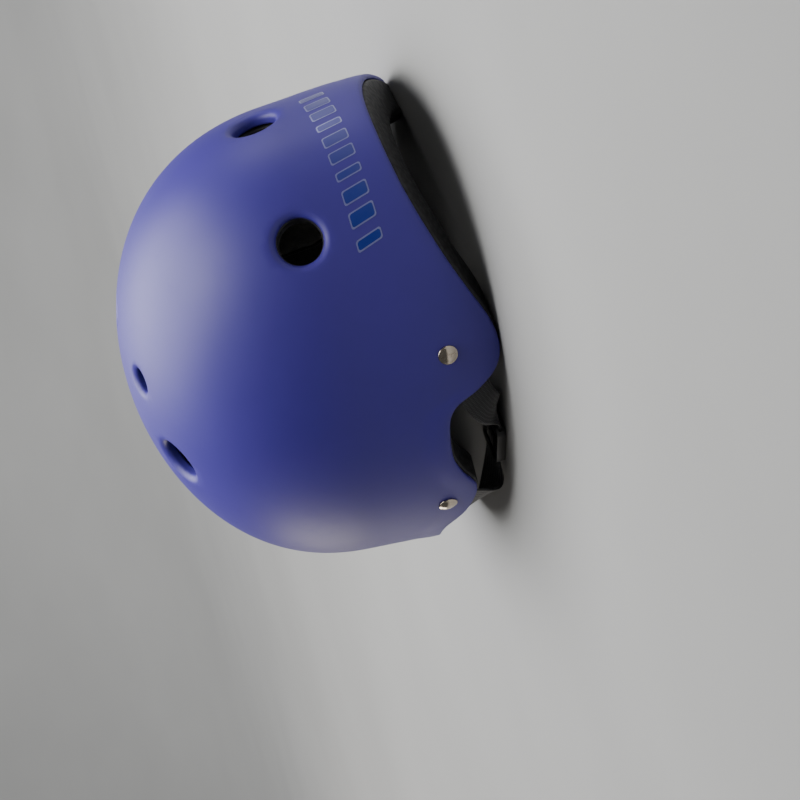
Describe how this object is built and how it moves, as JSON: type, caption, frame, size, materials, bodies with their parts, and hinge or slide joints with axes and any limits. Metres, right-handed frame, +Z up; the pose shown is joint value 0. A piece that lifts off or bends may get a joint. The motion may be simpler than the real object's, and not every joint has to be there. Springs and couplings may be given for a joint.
{
  "type": "cycling helmet",
  "caption": "Hard-shell skate-style cycling helmet with round vents, foam liner, comfort pads, riveted webbing straps, dividers and a side-release chin buckle",
  "frame": {"origin": "middle of the footprint, on the surface that the rim stands on", "axes": "+X forward (brow), +Y the wearer's left, +Z up (crown)"},
  "size_m": [0.2804, 0.2358, 0.1774],
  "materials": {
    "shell_paint": "satin-matte indigo paint over moulded shell",
    "foam": "black skinned expanded foam",
    "pad_fabric": "dark brushed mesh over soft foam",
    "hook_tape": "hook-and-loop tape",
    "rivet_metal": "nickel-plated, lightly brushed",
    "washer_steel": "plain steel",
    "webbing": "woven black webbing",
    "buckle_plastic": "black moulded acetal",
    "chin_pad_fabric": "black brushed padding",
    "keeper_rubber": "black rubber"
  },
  "bodies": {
    "helmet": {"outer_shell": "shell_paint", "eps_liner": "foam", "rivet_caps": "rivet_metal", "rivet_washers": "washer_steel", "brow_pad": "pad_fabric", "side_pad_left": "pad_fabric", "side_pad_right": "pad_fabric", "rear_pad": "pad_fabric", "crown_pad": "pad_fabric", "pad_hook_dots": "hook_tape", "front_strap_end_left": "webbing", "rear_strap_end_left": "webbing", "front_strap_end_right": "webbing", "rear_strap_end_right": "webbing"},
    "strap_left": {"front_webbing_left": "webbing", "rear_webbing_left": "webbing", "strap_divider_left": "buckle_plastic"},
    "strap_right": {"front_webbing_right": "webbing", "rear_webbing_right": "webbing", "strap_divider_right": "buckle_plastic"},
    "chin_strap_left": {"chin_webbing_left": "webbing"},
    "chin_strap_right": {"chin_webbing_right": "webbing", "webbing_loose_end": "webbing"},
    "socket": {"buckle_socket": "buckle_plastic"},
    "plug": {"buckle_plug": "buckle_plastic"},
    "prong_front": {"buckle_prong_front": "buckle_plastic"},
    "prong_rear": {"buckle_prong_rear": "buckle_plastic"},
    "chin_pad": {"chin_pad": "chin_pad_fabric"},
    "keeper": {"strap_keeper": "keeper_rubber"}
  },
  "joints": [
    {"name": "strap_left_fold", "type": "hinge", "parent": "helmet", "child": "strap_left", "pos_m": [0.0395, 0.10167, 0.0145], "axis": [0.9942, -0.0939, -0.0532], "range_deg": [-15, 95]},
    {"name": "strap_right_fold", "type": "hinge", "parent": "helmet", "child": "strap_right", "pos_m": [0.0395, -0.10167, 0.0145], "axis": [-0.9942, -0.0939, 0.0532], "range_deg": [-15, 95]},
    {"name": "chin_left_fold", "type": "hinge", "parent": "strap_left", "child": "chin_strap_left", "pos_m": [-0.008, 0.0805, 0.003], "axis": [1, 0, 0], "range_deg": [-30, 95]},
    {"name": "chin_right_fold", "type": "hinge", "parent": "strap_right", "child": "chin_strap_right", "pos_m": [-0.008, -0.0805, 0.003], "axis": [-1, 0, 0], "range_deg": [-30, 95]},
    {"name": "socket_tilt", "type": "hinge", "parent": "chin_strap_left", "child": "socket", "pos_m": [-0.008, 0.0555, 0.003], "axis": [1, 0, 0], "range_deg": [-45, 60]},
    {"name": "plug_tilt", "type": "hinge", "parent": "chin_strap_right", "child": "plug", "pos_m": [-0.008, -0.0305, 0.003], "axis": [-1, 0, 0], "range_deg": [-45, 60]},
    {"name": "prong_front_flex", "type": "hinge", "parent": "plug", "child": "prong_front", "pos_m": [0.001, -0.012, 0.0047], "axis": [0, 0, 1], "range_deg": [0, 7], "stiffness_Nm_per_rad": 0.03},
    {"name": "prong_rear_flex", "type": "hinge", "parent": "plug", "child": "prong_rear", "pos_m": [-0.017, -0.012, 0.0047], "axis": [0, 0, -1], "range_deg": [0, 7], "stiffness_Nm_per_rad": 0.03},
    {"name": "chin_pad_slide", "type": "slide", "parent": "chin_strap_right", "child": "chin_pad", "axis": [0, 1, 0], "range_m": [0, 0.006]},
    {"name": "keeper_slide", "type": "slide", "parent": "chin_strap_right", "child": "keeper", "axis": [0, 1, 0], "range_m": [-0.005, 0.005]}
  ],
  "couplings": [
    {"joint": "prong_rear_flex", "follows": "prong_front_flex", "ratio": 1}
  ]
}
